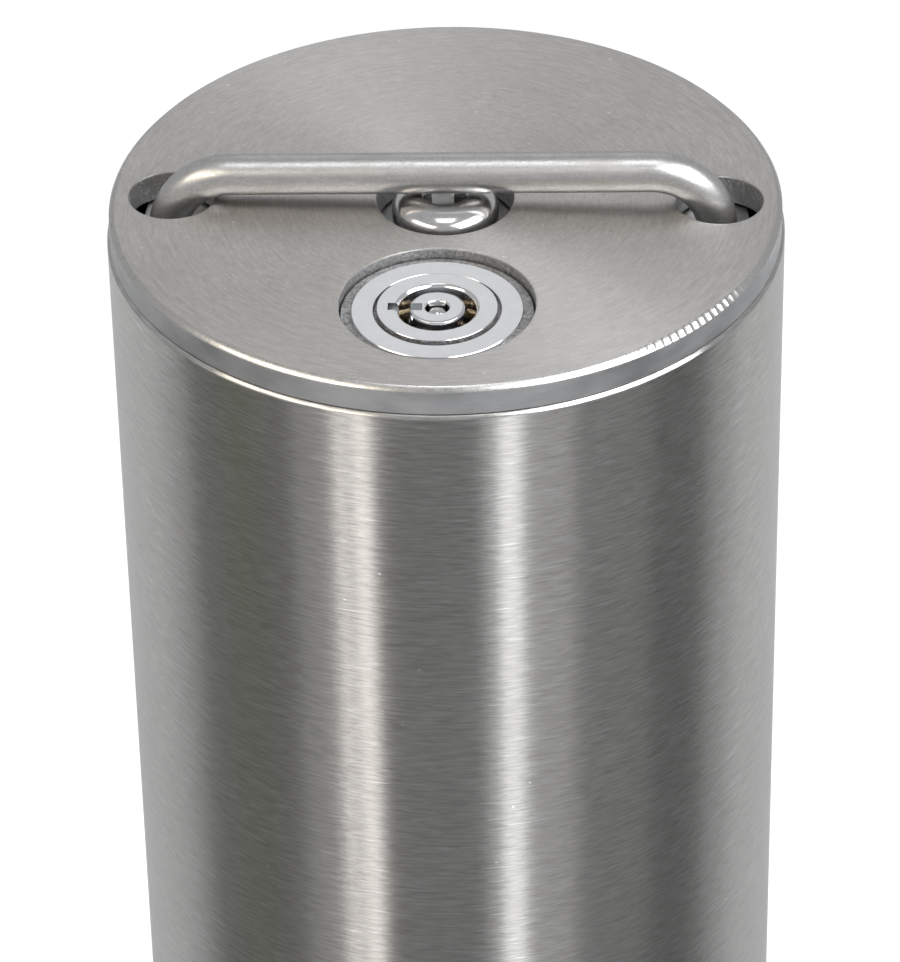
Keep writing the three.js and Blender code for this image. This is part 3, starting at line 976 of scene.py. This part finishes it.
def make_socket():
    body = "ground_socket"
    outer = high("socket_sleeve").x
    profile = eased(band("socket_sleeve", outer - 3 * MM, outer), 0.4 * MM)
    add_shape("socket_sleeve_skin", turned(profile, segments=192), [MILL], body,
              ["socket_sleeve"])

    drain = hole_edge(10 * MM)
    base = plate("socket_base", disc_edge(high("socket_base").x, 192), [drain], 0.4 * MM, 1)
    add_shape("socket_base_cut", base, [MILL, EDGE], body, ["socket_base"])

    keeper = plate("keeper_ring", disc_edge(high("keeper_ring").x, 160),
                   [hole_edge(38 * MM, segments=160)], 0.5 * MM, 1)
    add_shape("keeper_ring_cut", keeper, [DISC, EDGE], body, ["keeper_ring"])

    outer = high("ground_flange").x
    bottom, top = heights("ground_flange")
    opening, outer_bevel, inner_bevel = 46 * MM, 1.2 * MM, 0.8 * MM
    profile = [(opening, bottom), (outer, bottom), (outer, top - outer_bevel),
               (outer - outer_bevel, top), (opening + inner_bevel, top),
               (opening, top - inner_bevel)]
    add_shape("ground_flange_cut", turned(eased(profile, 0.25 * MM), segments=256), [DISC],
              body, ["ground_flange"])

    for node in ("upper_liner", "lower_liner"):
        profile = eased(band(node, high("post_tube").x + 0.3 * MM, high(node).x), 0.5 * MM)
        add_shape(node + "_nylon", turned(profile, segments=160), [PLASTIC], body,
                  [node])


def weld_bead(name, radius, z, size, body, seed):
    """A ring of weld with ripples, lying in the corner between a tube and a plate."""
    rng = random.Random(seed)
    ripple_length, per_ripple, section = 1.7 * MM, 4, 10
    count = int(FULL_TURN * radius / ripple_length) * per_ripple
    shape = Shape()
    rings = []
    for i in range(count):
        angle = FULL_TURN * i / count
        phase = (i % per_ripple) / per_ripple
        swell = size * (0.86 + 0.14 * math.sin(math.pi * phase) + rng.uniform(-0.03, 0.03))
        points = []
        for k in range(section):
            turn = FULL_TURN * k / section
            r = radius + swell * math.cos(turn)
            points.append((r * math.cos(angle), r * math.sin(angle), z + swell * math.sin(turn)))
        rings.append(shape.ring(points))
    for i in range(count):
        shape.bridge(rings[i], rings[(i + 1) % count])
    add_shape(name, shape, [WELD], body, sharp=60)


def make_lugs():
    """Bent flat-bar lugs that hold the sleeve in the concrete."""
    inside = 2.5 * MM
    for number in (1, 2, 3):
        node = f"anchor_lug_{number}"
        middle = centre(node)
        angle = math.atan2(middle.y, middle.x)
        start = high("socket_sleeve").x + 0.3 * MM
        bottom = low(node).z
        drop, reach, thick, width = 45 * MM, 24 * MM, 5 * MM, 25 * MM
        side = [(0, 0), (reach, 0), (reach, thick)]
        for k in range(7):
            turn = 1.5 * math.pi - (math.pi / 2) * k / 6
            side.append((thick + inside + inside * math.cos(turn),
                         thick + inside + inside * math.sin(turn)))
        side += [(thick, drop), (0, drop)]
        shape = Shape()
        rings = []
        ease = 0.5 * MM
        for offset, inset in ((-width / 2, ease), (-width / 2 + ease, 0),
                              (width / 2 - ease, 0), (width / 2, ease)):
            points = []
            for out, up in side:
                out = min(max(out, inset), reach - inset) + start
                up = min(max(up, inset), drop - inset) + bottom
                points.append((out * math.cos(angle) - offset * math.sin(angle),
                               out * math.sin(angle) + offset * math.cos(angle), up))
            rings.append(shape.ring(points))
        for a, b in zip(rings, rings[1:]):
            shape.bridge(a, b)
        shape.fill([rings[0]])
        shape.fill([rings[-1]])
        add_shape(node + "_bar", shape, [MILL], "ground_socket", [node])


# ---- floor, light and camera ------------------------------------------------

def stage_material(name, color, roughness=0.8):
    recipe = Recipe(name, metallic=0.0)
    mottle = recipe.grain(3, detail=2)
    darker = tuple(0.985 * c for c in color)
    return recipe.finish(recipe.blend(mottle, darker, color), roughness)


def make_floor():
    shape = Shape()
    ring = shape.ring(circle_points(0, 0, 40, low("socket_base").z - 0.2 * MM, 96))
    shape.fill([ring])
    data = shape.mesh("floor", [stage_material("floor_paint", (0.9, 0.9, 0.9))])
    if data.polygons[0].normal.z < 0:
        data.flip_normals()
    placed("floor", data)


def around(azimuth, distance, height):
    """A point at an azimuth about the post: 0 is in front of the lock, 90 is toward +X."""
    angle = math.radians(azimuth)
    return Vector((distance * math.sin(angle), -distance * math.cos(angle), height))


def area_light(name, place, aim, size, radiance, color):
    """A soft light turned toward a point."""
    data = bpy.data.lights.new(name, "AREA")
    data.shape = "RECTANGLE"
    data.size, data.size_y = size
    data.energy = radiance * math.pi * size[0] * size[1]
    data.color = color
    light = placed(name, data)
    light.location = place
    light.rotation_euler = (aim - place).to_track_quat("-Z", "Y").to_euler()
    light.visible_camera = False
    return light


def light_box(name, azimuth, elevation, distance, size, radiance, color):
    """A soft box seen from the cap at an azimuth and elevation, turned toward the cap."""
    reach = distance * math.cos(math.radians(elevation))
    rise = distance * math.sin(math.radians(elevation))
    place = around(azimuth, reach, CAP + rise)
    return area_light(name, place, Vector((0, 0, CAP)), size, radiance, color)


def strip(name, azimuth, width, radiance, color):
    """A narrow upright light beside the post."""
    distance, below_cap, length = 0.386, 0.3, 0.5
    place = around(azimuth, distance, CAP - below_cap)
    area_light(name, place, Vector((0, 0, place.z)), (width, length), radiance, color)


def card(name, start, end, shade, tint=(1, 1, 1)):
    """A curved card between two azimuths that only shows in reflections, as a flag does."""
    shape = Shape()
    distance, steps = 0.5, 12
    lower, upper = [], []
    for k in range(steps + 1):
        angle = start + (end - start) * k / steps
        lower.append(around(angle, distance, 0.02))
        upper.append(around(angle, distance, CAP - 0.09))
    low_row, high_row = shape.ring(lower), shape.ring(upper)
    for k in range(steps):
        shape.face((low_row[k], low_row[k + 1], high_row[k + 1], high_row[k]))
    color = tuple(shade * c for c in tint)
    made = placed(name, shape.mesh(name, [stage_material(name, color)]))
    made.visible_camera = False
    made.visible_diffuse = False
    made.visible_shadow = False


def make_lights():
    world = bpy.data.worlds.new("studio")
    world.use_nodes = True
    background = world.node_tree.nodes["Background"].inputs
    background["Color"].default_value = (0.97, 0.98, 1.0, 1)
    background["Strength"].default_value = 0.46
    bpy.context.scene.world = world

    warm, cool = (1.0, 0.9, 0.74), (0.97, 0.985, 1.0)
    floor_wash = light_box("floor_wash", 0, 90, 2.6, (5.0, 5.0), 2.6, cool)
    floor_wash.visible_glossy = False
    light_box("back_box", 183, 36, 1.3, (0.5, 0.5), 0.31, cool)
    light_box("bar_box", 0, 84, 1.3, (0.46, 0.44), 2.6, cool)
    light_box("white_key", 60, 41, 0.3, (0.28, 0.2), 5.2, cool)
    light_box("warm_key", -50, 38, 0.3, (0.24, 0.085), 3.8, warm)
    pale = (1.0, 0.955, 0.91)
    strip("thin_strip", -32.6, 0.014, 2.3, pale)
    strip("warm_strip", -25.3, 0.038, 1.5, pale)
    strip("cool_strip", 22, 0.05, 1.22, cool)

    card("back_left", -180, -108, 0.59)
    card("side_left", -108, -94, 0.44)
    card("dark_left", -94, -78, 0.16)
    card("green_left", -78, -64, 0.165, (0.95, 1.0, 0.77))
    card("dim_left", -64, -50, 0.165, (1.0, 0.99, 0.95))
    card("shoulder_left", -50, -22, 0.36)
    card("front", -22, 13, 0.215)
    card("shoulder_right", 13, 44, 0.48)
    card("dim_right", 44, 72, 0.23)
    card("dark_right", 72, 98, 0.125)
    card("side_right", 98, 112, 0.4)
    card("back_right", 112, 180, 0.62)


def make_camera():
    """The camera stands in front of the lock and looks down at the cap."""
    lens, sensor = 197.4, 36
    yaw, pitch, roll = math.radians(3.01), math.radians(-35.66), math.radians(-1.105)
    place = Vector((30.48, -581.54, 372.14)) * MM + Vector((0, 0, CAP))
    ahead = Vector((-math.sin(yaw) * math.cos(pitch), math.cos(yaw) * math.cos(pitch),
                    math.sin(pitch)))
    level = Vector((math.cos(yaw), math.sin(yaw), 0))
    upright = level.cross(ahead)
    right = level * math.cos(roll) + upright * math.sin(roll)
    up = right.cross(ahead)
    data = bpy.data.cameras.new("camera")
    data.lens = lens
    data.sensor_width = sensor
    data.clip_start = 0.01
    data.clip_end = 200
    camera = placed("camera", data)
    turn = Matrix((right, up, -ahead)).transposed().to_4x4()
    camera.matrix_world = Matrix.Translation(place) @ turn
    bpy.context.scene.camera = camera


# ---- everything together ----------------------------------------------------

make_post_tube()
make_top_disc()
make_inner_plate()
make_foot_plate()
make_bridge_bar()
make_centre_screw()
make_lock_body()
make_lock_nut()
make_bush("upper_bush")
make_bush("lower_bush")

make_spindle()
domed_pin("spindle_ball", "spindle_pin", "lock_train", 0.9 * MM, POLISHED)
make_lock_rod()
make_cam()
make_nut("cam_nut", 13 * MM, THREAD_HOLE, "lock_train")
make_turned("rod_collar", band("rod_collar", ROD_BORE, 10 * MM), "lock_train", 0.5 * MM)
make_coupling()
for node in ("coupling_pin_1", "coupling_pin_2", "collar_screw"):
    material_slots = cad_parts[node].data.materials
    material_slots.clear()
    material_slots.append(MILL)

for number in range(1, 8):
    domed_pin(f"key_pin_{number}_tip", f"key_pin_{number}", "key_pins", 0.3 * MM,
              BRASS)

make_handle()
for number in (1, 2):
    washer = f"handle_washer_{number}"
    make_turned(washer, band(washer, LEG_BORE, 5 * MM), "lifting_handle", 0.15 * MM)
    make_nut(f"handle_nut_{number}", 8.5 * MM, LEG_BORE, "lifting_handle")

make_socket()
make_lugs()
weld_bead("flange_weld", high("socket_sleeve").x + 0.6 * MM, low("ground_flange").z - 1.6 * MM,
          1.5 * MM, "ground_socket", 3)

make_floor()
make_lights()
make_camera()
bpy.context.scene.view_settings.view_transform = "Standard"
